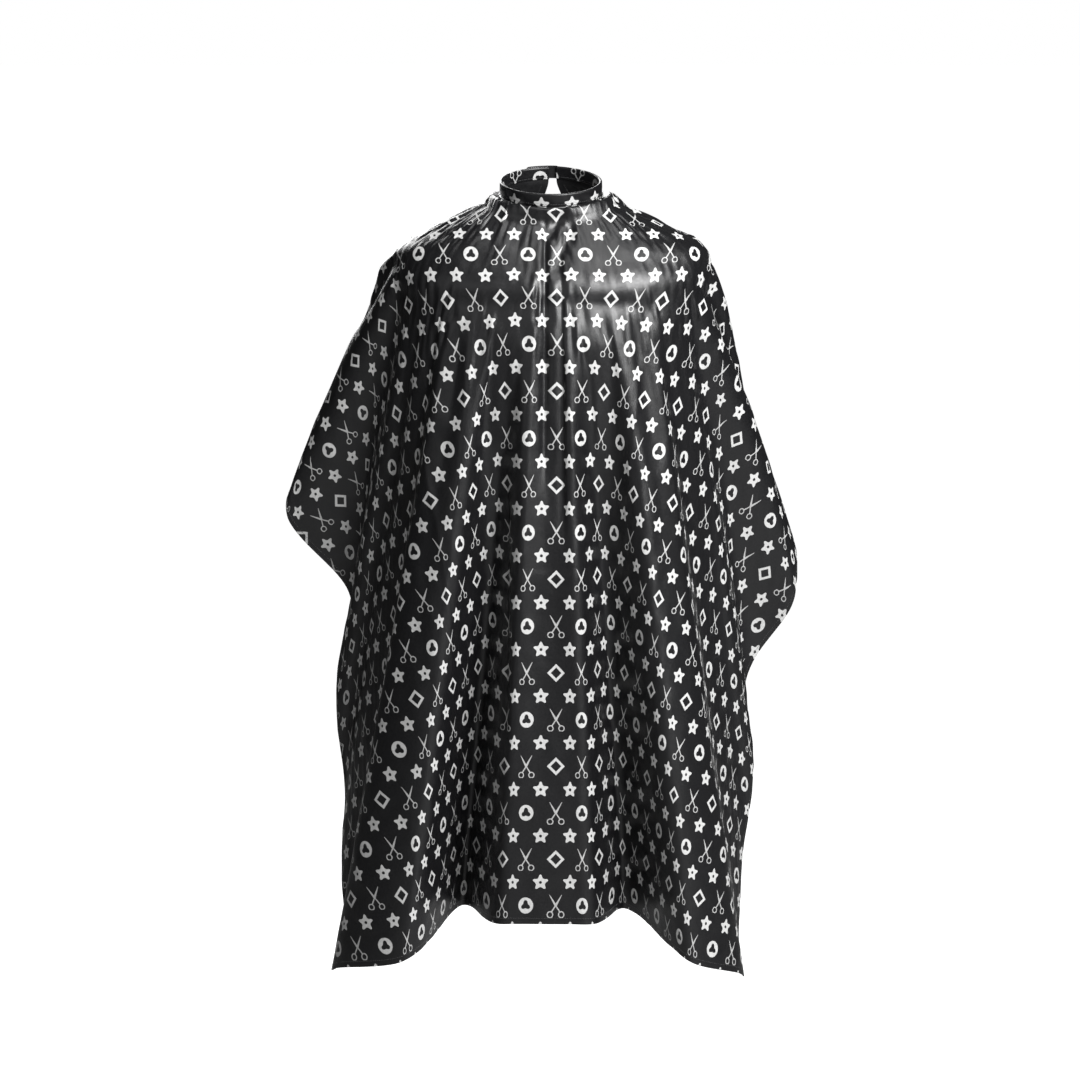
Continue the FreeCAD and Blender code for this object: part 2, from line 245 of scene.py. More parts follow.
def mesh_piece(name, vertices, faces, materials, face_materials=None, uv=None, normals=None):
    """A smooth-shaded mesh object; uv is given for each vertex, in metres of flat cloth."""
    mesh = bpy.data.meshes.new(name)
    mesh.from_pydata(np.asarray(vertices).tolist(), [], faces)
    for material in materials:
        mesh.materials.append(material)
    if face_materials is not None:
        mesh.polygons.foreach_set("material_index", face_materials)
    mesh.polygons.foreach_set("use_smooth", [True] * len(mesh.polygons))
    if uv is not None:
        corner_vertex = np.zeros(len(mesh.loops), int)
        mesh.loops.foreach_get("vertex_index", corner_vertex)
        layer = mesh.uv_layers.new(name="flat")
        layer.data.foreach_set("uv", np.asarray(uv)[corner_vertex].ravel())
    mesh.update()
    if normals is not None:
        mesh.normals_split_custom_set_from_vertices(np.asarray(normals).tolist())
    return add_object(name, mesh)


def grid_normals(points):
    """Outward unit normals of a grid whose first axis runs round the cloth and second runs down."""
    round_way = np.gradient(points, axis=0)
    down_way = np.gradient(points, axis=1)
    return unit(np.cross(down_way, round_way))


def rim_directions(points):
    """Unit directions that point out of the cloth at the grid's free edges, and zero elsewhere."""
    away = np.zeros_like(points)
    away[0] += unit(points[0] - points[1])
    away[-1] += unit(points[-1] - points[-2])
    away[:, -1] += unit(points[:, -1] - points[:, -2])
    return np.where(np.abs(away).sum(axis=-1, keepdims=True) > 0, unit(away), 0.0)


def sheet_piece(name, points, normals, uv, materials, thick, extra=0.0, cells=None, top_rim=False):
    """A closed sheet on a grid of points, with rounded free edges.

    cells says which cells of the grid it covers. The outer face takes the first material and the
    rest takes the last. extra thickens the sheet inwards, as a turned hem does.
    """
    rounds, downs = points.shape[:2]
    if cells is None:
        cells = np.ones((rounds - 1, downs - 1), bool)
    extra = np.broadcast_to(extra, (rounds, downs))[..., None]
    outer = points + normals * (thick / 2)
    inner = points - normals * (thick / 2 + extra)
    away = rim_directions(points)
    if top_rim:
        away[:, 0] = unit(away[:, 0] + unit(points[:, 0] - points[:, 1]))
    rim = (outer + inner) / 2 + away * (thick + extra) * RIM_BULGE
    index = np.arange(rounds * downs).reshape(rounds, downs)
    a, b, c, d = index[:-1, :-1], index[:-1, 1:], index[1:, 1:], index[1:, :-1]
    covered = stacked(a, b, c, d)[cells]
    count = rounds * downs
    outer_faces = covered.tolist()
    inner_faces = (covered[:, ::-1] + count).tolist()
    padded = np.pad(cells, 1)
    open_sides = [
        (a, b, cells & ~padded[:-2, 1:-1]),
        (b, c, cells & ~padded[1:-1, 2:]),
        (c, d, cells & ~padded[2:, 1:-1]),
        (d, a, cells & ~padded[1:-1, :-2]),
    ]
    walls = []
    for first, second, is_open in open_sides:
        start, end = first[is_open], second[is_open]
        start_rim, end_rim = start + 2 * count, end + 2 * count
        walls += stacked(end, start, start_rim, end_rim).tolist()
        walls += stacked(end_rim, start_rim, start + count, end + count).tolist()
    faces = outer_faces + inner_faces + walls
    used = np.unique(np.array(faces))
    renumber = np.zeros(3 * count, int)
    renumber[used] = np.arange(len(used))
    faces = renumber[np.array(faces)].tolist()
    vertices = np.concatenate([outer, inner, rim]).reshape(-1, 3)[used]
    all_uv = np.concatenate([uv.reshape(-1, 2)] * 3)[used]
    all_normals = np.concatenate([normals, -normals, away]).reshape(-1, 3)[used]
    last = len(materials) - 1
    face_materials = [0] * len(outer_faces) + [last] * (len(inner_faces) + len(walls))
    return mesh_piece(name, vertices, faces, materials, face_materials, all_uv, all_normals)


def ring_faces(rings, around):
    """The numbers of a tube's points, ring by ring, and the faces between its rings."""
    index = np.arange(rings * around).reshape(rings, around)
    following = np.roll(index, -1, axis=1)
    quads = stacked(index[:-1], index[1:], following[1:], following[:-1])
    return index, quads.reshape(-1, 4).tolist()


def swept_piece(name, sections, materials, printed=None, uv=None):
    """A closed solid through a run of closed sections, (sections, points, 3).

    The second half of each section mirrors the first, so the two end caps are drawn across it.
    printed says which strips between neighbouring points take the first material.
    """
    runs, around = sections.shape[:2]
    index, faces = ring_faces(runs, around)
    kinds = [0] * len(faces)
    if printed is not None:
        kinds = np.tile(np.where(printed, 0, 1), runs - 1).tolist()
    half = around // 2
    for row, flip in ((index[0], False), (index[-1], True)):
        for k in range(half - 1):
            cap = [row[k], row[k + 1], row[around - 2 - k], row[around - 1 - k]]
            faces.append([int(v) for v in (cap[::-1] if flip else cap)])
            kinds.append(len(materials) - 1)
    flat_uv = None if uv is None else uv.reshape(-1, 2)
    return mesh_piece(name, sections.reshape(-1, 3), faces, materials, kinds, flat_uv)


def tubes(paths, normals, radius, sides=5):
    """Vertices and faces of many closed threads; paths is (threads, points, 3)."""
    threads, points = paths.shape[:2]
    along = unit(np.gradient(paths, axis=1))
    side = unit(np.cross(along, normals))
    up = np.cross(side, along)
    turn = np.linspace(0, 2 * np.pi, sides, endpoint=False)
    taper = np.ones(points)
    taper[[0, -1]] = 0.5
    reach = radius * taper[None, :, None, None]
    spokes = np.cos(turn)[:, None] * side[:, :, None] + np.sin(turn)[:, None] * up[:, :, None]
    vertices = (paths[:, :, None] + spokes * reach).reshape(-1, 3)
    index = np.arange(threads * points * sides).reshape(threads, points, sides)
    following = np.roll(index, -1, axis=2)
    quads = stacked(index[:, :-1], following[:, :-1], following[:, 1:], index[:, 1:])
    faces = quads.reshape(-1, 4).tolist()
    faces += index[:, 0, ::-1].tolist()
    faces += index[:, -1].tolist()
    return vertices, faces


def joined(parts):
    """One list of vertices and faces from several."""
    vertices, faces, start = [], [], 0
    for part_vertices, part_faces in parts:
        vertices.append(part_vertices)
        faces += [[v + start for v in face] for face in part_faces]
        start += len(part_vertices)
    return np.concatenate(vertices), faces


def run_along(points):
    """Distance along a path, at each of its points."""
    return np.concatenate([[0], np.cumsum(np.linalg.norm(np.diff(points, axis=0), axis=1))])


def stitches(points, normals, length=2.7 * MM, gap=0.6 * MM, radius=0.2 * MM):
    """Lockstitches along a path that lies on a surface, each one dipping in at both ends."""
    run = run_along(points)
    count = max(int((run[-1] + gap) // (length + gap)), 1)
    starts = np.arange(count) * (length + gap)
    shares = np.array([0.0, 0.2, 0.5, 0.8, 1.0])
    lifts = np.array([-0.6, 0.55, 0.8, 0.55, -0.6]) * radius
    at = starts[:, None] + shares * length
    path = stacked(*(np.interp(at, run, points[:, k]) for k in range(3)))
    up = unit(stacked(*(np.interp(at, run, normals[:, k]) for k in range(3))))
    return tubes(path + up * lifts[:, None], up, radius)


# ---------------- cloth: flat shape and first guess

def monotone(at, knots, values):
    """Values on smooth curves through the knots, without overshoot between them."""
    step = np.diff(knots)[:, None]
    rise = np.diff(values, axis=0) / step
    before, after = step[:-1], step[1:]
    same_way = rise[:-1] * rise[1:] > 0
    safe = np.where(rise == 0, 1.0, rise)
    weight_before, weight_after = 2 * after + before, after + 2 * before
    mean = (weight_before + weight_after) / (weight_before / safe[:-1] + weight_after / safe[1:])
    slope = np.zeros_like(values)
    slope[1:-1] = np.where(same_way, mean, 0.0)
    place = np.clip(np.searchsorted(knots, at) - 1, 0, len(knots) - 2)
    share = ((at - knots[place]) / step[place, 0])[:, None]
    value = values[place] + (values[place + 1] - values[place]) * ease(share)
    bend = slope[place] * (1 - share) - slope[place + 1] * share
    return value + step[place] * share * (1 - share) * bend


def flat_reach(angles):
    """Distance on the flat cloth from the neck centre to its outer edge, corners rounded."""
    across = np.abs(np.sin(np.radians(angles)))
    down = np.abs(np.cos(np.radians(angles)))
    reach = np.minimum(CLOTH_HALF_WIDE / np.maximum(across, 1e-9), CLOTH_DROP / np.maximum(down, 1e-9))
    x_centre, y_centre = CLOTH_HALF_WIDE - CLOTH_CORNER, CLOTH_DROP - CLOTH_CORNER
    in_corner = (reach * across > x_centre) & (reach * down > y_centre)
    along = across * x_centre + down * y_centre
    inside = along ** 2 - x_centre ** 2 - y_centre ** 2 + CLOTH_CORNER ** 2
    return np.where(in_corner, along + np.sqrt(np.maximum(inside, 0.0)), reach)


def column_angles(count, evenness=0.8):
    """Angles of the grid's columns, closer together where the hem turns its corners."""
    fine = np.linspace(ANGLE_LEFT, ANGLE_RIGHT, 4001)
    reach = flat_reach(fine)
    run = run_along(stacked(reach * np.sin(np.radians(fine)), reach * np.cos(np.radians(fine))))
    run = evenness * run / run[-1] + (1 - evenness) * np.linspace(0, 1, len(fine))
    return np.interp(np.linspace(0, 1, count), run, fine)


def eased(distance, corner, width):
    """Zero before a corner and rising one for one after it, with the bend spread over width."""
    value = 0.5 * (distance - corner + np.hypot(distance - corner, width))
    return value - 0.5 * (-corner + np.hypot(corner, width))


def rib_points(angles, distances):
    """Cloth hung straight along its ribs, which is where the simulation starts from."""
    azimuths = 2 * angles
    radius = ring(azimuths, CLOTH_RADIUS)
    top = neck(azimuths, radius, HELD_TOP)
    bottom = neck(azimuths, radius, HELD_BOTTOM)
    places = monotone(angles, RIBS[:, 0], RIBS[:, 1:]) * MM
    yoke, hem = places[:, :3], places[:, 3:]
    spread = np.linalg.norm(yoke - bottom, axis=1)
    hang = np.maximum(flat_reach(angles) - SCOOP - HELD - spread, 10 * MM)
    run = hem - yoke[:, :2]
    fall = np.sqrt(np.maximum(hang ** 2 - (run ** 2).sum(axis=1), 0.01 * hang ** 2))
    hanging = unit(np.column_stack([run, -fall]))
    after_band = eased(distances, HELD, NECK_BEND)[..., None]
    after_yoke = eased(distances, (HELD + spread)[:, None], YOKE_BEND)[..., None]
    held = unit(bottom - top)[:, None] * (distances[..., None] - after_band)
    out = unit(yoke - bottom)[:, None] * (after_band - after_yoke)
    return top[:, None] + held + out + hanging[:, None] * after_yoke


# ---------------- cloth: simulation

SIM_COLUMNS, SIM_ROWS, SIM_FRAMES = 151, 57, 40
SHAPE_HOLD = 0.2


def torso():
    """The shoulders and chest that the cloth rests on, removed after the simulation."""
    sides, flatness, rings = 56, 0.9, 80
    heights = np.linspace(TORSO[0, 0], TORSO[-1, 0], rings)
    wide = np.interp(-heights, -TORSO[:, 0], TORSO[:, 1])
    deep = np.interp(-heights, -TORSO[:, 0], TORSO[:, 2])
    turn = np.linspace(0, 2 * np.pi, sides, endpoint=False)
    x = np.sign(np.cos(turn)) * np.abs(np.cos(turn)) ** flatness
    y = np.sign(np.sin(turn)) * np.abs(np.sin(turn)) ** flatness
    x, y = wide[:, None] * x, deep[:, None] * y - 5 * MM
    points = stacked(x, y, heights[:, None])
    index, faces = ring_faces(rings, sides)
    faces += [index[0].tolist(), index[-1, ::-1].tolist()]
    body = mesh_piece("torso_guide", points.reshape(-1, 3), faces, [])
    body.modifiers.new("collision", "COLLISION")
    body.collision.thickness_outer = 3 * MM
    return body


def drape(start, flat):
    """The cloth's points after it has settled on the shoulders with its neckline held."""
    columns, rows = start.shape[:2]
    index = np.arange(columns * rows).reshape(columns, rows)
    faces = stacked(index[:-1, :-1], index[:-1, 1:], index[1:, 1:], index[1:, :-1])
    cloth = mesh_piece("cloth_guide", start.reshape(-1, 3), faces.reshape(-1, 4).tolist(), [])
    cloth.shape_key_add(name="Basis")
    flat_key = cloth.shape_key_add(name="flat")
    flat_key.value = 0.0
    flat_key.data.foreach_set("co", np.pad(flat.reshape(-1, 2), ((0, 0), (0, 1))).ravel())
    hold = cloth.vertex_groups.new(name="hold")
    hold.add(index[:, 2:].ravel().tolist(), SHAPE_HOLD, "REPLACE")
    hold.add(index[:, :2].ravel().tolist(), 1.0, "REPLACE")
    body = torso()
    modifier = cloth.modifiers.new("cloth", "CLOTH")
    settings = modifier.settings
    settings.quality = 8
    settings.mass = 0.15
    settings.tension_stiffness = settings.compression_stiffness = 40
    settings.shear_stiffness = 10
    settings.bending_stiffness = 12
    settings.tension_damping = settings.compression_damping = settings.shear_damping = 5
    settings.bending_damping = 1
    settings.air_damping = 1
    settings.vertex_group_mass = "hold"
    settings.rest_shape_key = flat_key
    modifier.collision_settings.distance_min = 4 * MM
    modifier.collision_settings.collision_quality = 3
    scene = bpy.context.scene
    scene.frame_start = modifier.point_cache.frame_start = 1
    scene.frame_end = modifier.point_cache.frame_end = SIM_FRAMES
    for number in range(1, SIM_FRAMES + 1):
        scene.frame_set(number)
    settled = cloth.evaluated_get(bpy.context.evaluated_depsgraph_get())
    points = np.zeros(columns * rows * 3)
    settled.data.vertices.foreach_get("co", points)
    scene.frame_set(1)
    for guide in (cloth, body):
        bpy.data.objects.remove(guide)
    return points.reshape(columns, rows, 3)


def smooth_samples(grid, places):
    """Cubic samples along the grid's second axis, at fractional places given for each column."""
    low = np.clip(np.floor(places).astype(int), 0, grid.shape[1] - 2)
    share = (places - low)[..., None]
    near = [np.clip(low + k, 0, grid.shape[1] - 1)[..., None] for k in (-1, 0, 1, 2)]
    p0, p1, p2, p3 = (np.take_along_axis(grid, place, axis=1) for place in near)
    curve = 2 * p0 - 5 * p1 + 4 * p2 - p3 + share * (3 * (p1 - p2) + p3 - p0)
    return p1 + 0.5 * share * (p2 - p0 + share * curve)


# ---------------- cloth: fine grid and creases

FINE_COLUMNS, FINE_ROWS = 421, 140

# Creases on the flat cloth, millimetres: start, end, half width and height. A height above zero is
# a ridge. The long straight ones come from the way a new cape is folded in its bag.
CREASES = [
    ((-8, 150), (-8, 540), 5.0, -5.0),
    ((14, 210), (16, 620), 5.0, -3.5),
    ((-72, 500), (-72, 880), 5.0, -4.0),
    ((34, 170), (-2, 265), 8.0, -5.0),
    ((22, 150), (-6, 205), 7.0, -4.0),
    ((-46, 292), (190, 292), 3.0, -1.6),
    ((-190, 640), (210, 640), 3.0, 0.9),
    ((-150, 470), (170, 470), 3.0, 0.7),
    ((150, 300), (150, 1080), 3.5, 0.9),
    ((-225, 330), (-225, 1080), 3.5, 0.9),
]


def crease_heights(flat):
    """Height of all the creases over a grid of flat points."""
    height = np.zeros(flat.shape[:2])
    across, down = flat[..., 0] / MM, -flat[..., 1] / MM
    for start, end, half_width, rise in CREASES:
        run_x, run_y = end[0] - start[0], end[1] - start[1]
        length = math.hypot(run_x, run_y)
        along = ((across - start[0]) * run_x + (down - start[1]) * run_y) / length
        aside = ((across - start[0]) * run_y - (down - start[1]) * run_x) / length
        fade = ease(along / (0.2 * length)) * ease((length - along) / (0.2 * length))
        height += rise * MM * fade * np.exp(-(aside / half_width) ** 2)
    return height


def soft_rumple(flat):
    """Small uneven waves of cloth that has been folded and worn, away from the neckline."""
    height = np.zeros(flat.shape[:2])
    for column, row in np.ndindex(height.shape):
        x, y = flat[column, row]
        broad = noise.noise(Vector((x / 0.075, y / 0.11, 2.7)))
        sharp = 1 - abs(noise.noise(Vector((x / 0.05, y / 0.085, 9.1)))) * 3
        height[column, row] = 1.6 * MM * broad + 0.7 * MM * max(sharp, 0.0)
    away_from_neck = ease((np.linalg.norm(flat, axis=-1) - SCOOP - 20 * MM) / (60 * MM))
    return height * away_from_neck


class Cloth:
    """The draped cloth as a fine grid: points, outward normals, flat places, angles, distances."""

    def __init__(self):
        angles = column_angles(SIM_COLUMNS)
        length = flat_reach(angles) - SCOOP
        shares = np.linspace(0, 1, SIM_ROWS - 1)
        hanging = HELD + (length - HELD)[:, None] * shares
        distances = np.column_stack([np.zeros(SIM_COLUMNS), hanging])
        points = rib_points(angles, distances)
        points = drape(points, self.flat_places(angles, distances))
        wide = np.broadcast_to(np.linspace(0, SIM_COLUMNS - 1, FINE_COLUMNS), (SIM_ROWS, FINE_COLUMNS))
        channels = np.concatenate([points, distances[..., None]], axis=-1)
        columns = smooth_samples(channels.transpose(1, 0, 2), wide).transpose(1, 0, 2)
        self.angles = np.interp(wide[0], np.arange(SIM_COLUMNS), angles)
        self.distances = self.row_distances(columns[:, -1, 3])
        sim_rows = np.arange(SIM_ROWS)
        places = [np.interp(row, column[:, 3], sim_rows) for row, column in zip(self.distances, columns)]
        self.points = smooth_samples(columns[..., :3], np.array(places))
        self.flat = self.flat_places(self.angles, self.distances)
        relief = crease_heights(self.flat) + soft_rumple(self.flat)
        self.points += grid_normals(self.points) * relief[..., None]
        self.normals = grid_normals(self.points)
        self.hem = self.hem_thickness()

    @staticmethod
    def flat_places(angles, distances):
        turn, reach = np.radians(angles)[:, None], SCOOP + distances
        return stacked(reach * np.sin(turn), -reach * np.cos(turn))

    @staticmethod
    def row_distances(lengths):
        """Close rows inside the band and over the turned hem, and even rows between them."""
        held = np.broadcast_to(np.linspace(0, HELD, 4), (len(lengths), 4))
        hem_steps = np.array([1.08, 1.0, 0.92, 0.5, 0.15, 0.0]) * HEM_TURN
        hem = lengths[:, None] - hem_steps
        shares = np.linspace(0, 1, FINE_ROWS - 10 + 2)[1:-1]
        between = HELD + (hem[:, :1] - HELD) * shares
        return np.concatenate([held, between, hem], axis=1)

    def edge_gap(self):
        """Distance on the flat cloth from the nearest of its outer edges and opening edges."""
        reach = SCOOP + self.distances
        left = reach * np.sin(np.radians(self.angles - ANGLE_LEFT))[:, None]
        right = reach * np.sin(np.radians(ANGLE_RIGHT - self.angles))[:, None]
        outer = self.distances[:, -1:] - self.distances
        return np.minimum(np.minimum(left, right), outer)

    def hem_thickness(self):
        """The second layer of the turned hem, which ends inside the neckband."""
        below_band = ease((self.distances - HELD) / (8 * MM))
        return HEM_PLY * ease((HEM_TURN * 1.04 - self.edge_gap()) / (0.08 * HEM_TURN)) * below_band

    def at(self, angles, distances):
        """Points and normals of the cloth's middle layer, and the hem's thickness there."""
        found = []
        layers = np.concatenate([self.points, self.normals, self.hem[..., None]], axis=-1)
        for angle, distance in zip(angles, distances):
            place = float(np.interp(angle, self.angles, np.arange(FINE_COLUMNS)))
            low = min(int(place), FINE_COLUMNS - 2)
            pair = []
            for column in (low, low + 1):
                row = float(np.interp(distance, self.distances[column], np.arange(FINE_ROWS)))
                start = min(int(row), FINE_ROWS - 2)
                above, below = layers[column, start], layers[column, start + 1]
                pair.append(above * (start + 1 - row) + below * (row - start))
            found.append(pair[0] * (low + 1 - place) + pair[1] * (place - low))
        found = np.array(found)
        return found[:, :3], unit(found[:, 3:6]), found[:, 6]


# ---------------- cloth: pieces

def patch_cells(cloth, side):
    """Cells of the cloth beside the closure, next to the end of the neckband."""
    near_edges, ending = (cloth.angles[1:], 0) if side < 0 else (cloth.angles[:-1], -1)
    beside = near_edges * side >= PATCH_ANGLE - 1e-6
    rows = cloth.distances[ending, 1:] <= PATCH_LONG
    return beside[:, None] & rows[None, :]


def cape_cloth(cloth, printed, plain):
    """The cape in three pieces that meet edge to edge: the panel and the two beside the closure."""
    left, right = patch_cells(cloth, -1), patch_cells(cloth, 1)
    patches = (
        ("cape_cloth", ~(left | right), ride_root, "cape_panel"),
        ("cape_cloth_left", left, bend_left, "back_yoke_left"),
        ("cape_cloth_right", right, bend_right, "back_yoke_right"),
    )
    for name, cells, place, node in patches:
        piece = sheet_piece(name, cloth.points, cloth.normals, cloth.flat, [printed, plain],
                            CLOTH_THICK, cloth.hem, cells)
        place(piece, "cape_cloth", node)


def ride_root(piece, slot, *nodes):
    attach(piece, "root")
    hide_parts(*nodes)


def bend_between(piece, nodes):
    """Bakes a piece's transform in place and hides the CAD parts it stands for; it is put on no body."""
    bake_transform(piece)
    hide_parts(*nodes)


def bend_end(piece, side, nodes):
    """A piece beside one end of the opening, baked where it lies without bending."""
    start = Vector(neck(side * FOLD_AZIMUTH, BAND_MIDDLE, -BAND_HIGH / 2))
    bend_between(piece, nodes)


def bend_left(piece, slot, *nodes):
    bend_end(piece, -1, nodes)


def bend_right(piece, slot, *nodes):
    bend_end(piece, 1, nodes)


def bend_tab(piece, slot, *nodes):
    start, end = (Vector(neck(azimuth, TAB_RADIUS, -BAND_HIGH / 2)) for azimuth in TAB_BEND_AZIMUTHS)
    bend_between(piece, nodes)


def hem_stitches(cloth, thread):
    """Both faces of the hem's seam: along the sides and bottom, and up the two opening edges."""
    seam = 0.85 * HEM_TURN
    angles = cloth.angles[2:-2]
    around = (angles, cloth.distances[2:-2, -1] - seam)
    runs = {0: [around], -1: [], 1: []}
    for side, edge, ending in ((-1, ANGLE_LEFT, 0), (1, ANGLE_RIGHT, -1)):
        distances = np.linspace(HELD + 4 * MM, cloth.distances[ending, -1] - seam, 240)
        along_edge = edge - side * np.degrees(np.arcsin(seam / (SCOOP + distances)))
        rows = cloth.distances[ending]
        in_patch = distances <= rows[rows <= PATCH_LONG].max()
        runs[side].append((along_edge[in_patch], distances[in_patch]))
        runs[0].append((along_edge[~in_patch], distances[~in_patch]))
    pieces = (
        (0, "hem_stitches", ride_root, ["hem_stitching"]),
        (-1, "hem_stitches_left", bend_left, []),
        (1, "hem_stitches_right", bend_right, []),
    )
    for side, name, place, nodes in pieces:
        parts = []
        for path in runs[side]:
            points, normals, hem = cloth.at(*path)
            parts.append(stitches(points + normals * (CLOTH_THICK / 2), normals))
            parts.append(stitches(points - normals * (CLOTH_THICK / 2 + hem[:, None]), -normals))
        place(mesh_piece(name, *joined(parts), [thread]), "thread", *nodes)


def inset_edges(grid, inset=2):
    """The four edges of a grid without its outermost rows and columns."""
    inside = grid[inset:-inset, inset:-inset]
    return inside[:, 0], inside[:, -1], inside[0], inside[-1]


def care_label(cloth, ribbon, thread):
    """A blank folded ribbon sewn flat on the inside of the cloth at the left back."""
    columns, rows = 17, 25
    turns = LABEL_ANGLE + LABEL_HALF_ANGLE * np.linspace(1, -1, columns)
    downs = LABEL_START + LABEL_LONG * np.linspace(0, 1, rows)
    places = np.array([(turn, down) for turn in turns for down in downs])
    found = cloth.at(places[:, 0], places[:, 1])
    points, normals = (layer.reshape(columns, rows, 3) for layer in found[:2])
    wave = LABEL_WAVE * np.sin(np.linspace(0, 9, rows))[None, :, None]
    lift = CLOTH_THICK / 2 + LABEL_THICK / 2 + LABEL_GAP + LABEL_WAVE
    middle = points - normals * (lift + wave)
    across, down = np.linspace(0, LABEL_WIDE, columns), np.linspace(0, LABEL_LONG, rows)
    uv = stacked(across[:, None], down)
    label = sheet_piece("care_label_ribbon", middle, -normals, uv, [ribbon], LABEL_THICK, top_rim=True)
    ride_root(label, "label_tape", "care_label")
    surface = middle - normals * (LABEL_THICK / 2)
    seams = zip(inset_edges(surface), inset_edges(-normals))
    parts = [stitches(edge, up, 2.0 * MM, 0.5 * MM, 0.16 * MM) for edge, up in seams]
    piece = mesh_piece("care_label_stitches", *joined(parts), [thread])
    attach(piece, "root")


# ---------------- neckband

def band_profile():
    """The folded strip's section as (offset, height, length along the strip), outside then inside.

    The first half runs over the strip's outer face, from its bottom outside edge over the fold to
    its bottom inside edge. The second half runs back along the face that lines the cavity.
    """
    middle = BAND_THICK / 2 - PLY / 2
    straight = np.linspace(-BAND_HIGH, -BAND_THICK / 2, 15)
    turn = np.radians(np.linspace(0, 180, 13))[1:-1]
    offset = np.concatenate([np.full(15, middle), middle * np.cos(turn), np.full(15, -middle)])
    height = np.concatenate([straight, -BAND_THICK / 2 + middle * np.sin(turn), straight[::-1]])
    path = stacked(offset, height)
    along = unit(np.gradient(path, axis=0))
    outwards = stacked(along[:, 1], -along[:, 0])
    groove = SEAM_GROOVE * np.exp(-((height - SEAM_HEIGHT) / (0.9 * MM)) ** 2)
    half = np.full(len(path), PLY / 2)
    half[[0, -1]] *= 0.55
    outer = path + outwards * (half - groove)[:, None]
    inner = path - outwards * half[:, None]
    run = run_along(path)
    return np.concatenate([outer, inner[::-1]]), np.concatenate([run, run[::-1]])


def band_pucker(azimuths, heights):
    """How far the band's cloth stands off its even curve between the fold and the seam."""
    azimuths, heights = np.broadcast_arrays(azimuths, heights)
    wave = np.sin(np.radians(azimuths * 9.3)) + 0.6 * np.sin(np.radians(azimuths * 23.7) + 1.1)
    belly = np.sin(np.pi * np.clip(-heights / BAND_HIGH, 0, 1)) ** 2
    return 0.13 * MM * wave * belly


def band_lengths(inset=0.0):
    """The band's three lengths: side, first and last azimuth, and the function that places it."""
    return (
        ("front", -SPLIT_AZIMUTH, SPLIT_AZIMUTH, ride_root),
        ("left", inset - LEFT_END_AZIMUTH, -SPLIT_AZIMUTH, bend_left),
        ("right", SPLIT_AZIMUTH, RIGHT_END_AZIMUTH - inset, bend_right),
    )


def neckband(printed, plain):
    section, run = band_profile()
    count = len(section)
    is_printed = np.arange(count) < count // 2 - 1
    bottom = -SCOOP - HELD_TOP - BAND_HIGH
    for side, first, last, place in band_lengths():
        azimuths = np.linspace(first, last, int(last - first) + 1)[:, None]
        radii = ring(azimuths, BAND_MIDDLE + section[:, 0]) + band_pucker(azimuths, section[:, 1])
        sections = neck(azimuths, radii, section[:, 1])
        across = np.radians(azimuths) * CLOTH_RADIUS
        uv = stacked(across, bottom + run)
        piece = swept_piece(f"neckband_cloth_{side}", sections, [printed, plain], is_printed, uv)
        place(piece, "neckband_cloth", f"neckband_{side}")


def interlining(stiffener):
    """The stiffener inside the band, in the same three lengths."""
    low, high = INTERLINING_TOP - INTERLINING_HIGH, INTERLINING_TOP
    inner, outer = INTERLINING_OUTER - INTERLINING_THICK, INTERLINING_OUTER
    heights = np.linspace(low, high, 7)
    section = np.array([(outer, h) for h in heights] + [(inner, h) for h in heights[::-1]])
    for side, first, last, place in band_lengths(inset=1.0):
        azimuths = np.linspace(first, last, int((last - first) / 2) + 1)[:, None]
        sections = neck(azimuths, ring(azimuths, section[:, 0]), section[:, 1])
        piece = swept_piece(f"interlining_strip_{side}", sections, [stiffener])
        place(piece, "interlining", f"interlining_{side}")


def outward(points, azimuths, heights):
    """Unit directions straight away from the neck axis."""
    return unit(points - neck(azimuths, 0.0, heights))


def band_path(azimuths, radius, height):
    """A path on a face of the band with its outward normals."""
    points = neck(azimuths, ring(azimuths, radius), height)
    return points, outward(points, azimuths, height)


def neckband_stitches(thread):
    """The seam that closes the band on the cloth, as seen outside and inside."""
    for side, first, last, place in band_lengths():
        azimuths = np.linspace(first, last, 241)
        outside, outside_up = band_path(azimuths, BAND_OUTER - SEAM_GROOVE, SEAM_HEIGHT)
        inside, inside_up = band_path(azimuths, BAND_OUTER - BAND_THICK + SEAM_GROOVE, SEAM_HEIGHT)
        parts = [stitches(outside, outside_up), stitches(inside, -inside_up)]
        piece = mesh_piece(f"neckband_stitches_{side}", *joined(parts), [thread])
        place(piece, "thread", f"neckband_stitching_{side}")


# ---------------- closure

def curved_strip(name, azimuths, radii, low, high, materials, thick, rows=13):
    """A closed strip that curves about the neck axis; low and high are given for each azimuth."""
    shares = np.linspace(0, 1, rows)
    heights = high[:, None] + (low - high)[:, None] * shares
    points = neck(azimuths[:, None], radii[:, None], heights)
    across = np.radians(azimuths)[:, None] * TAB_RADIUS
    uv = stacked(across, heights - TAB_PRINT_START)
    return sheet_piece(name, points, grid_normals(points), uv, materials, thick, top_rim=True)


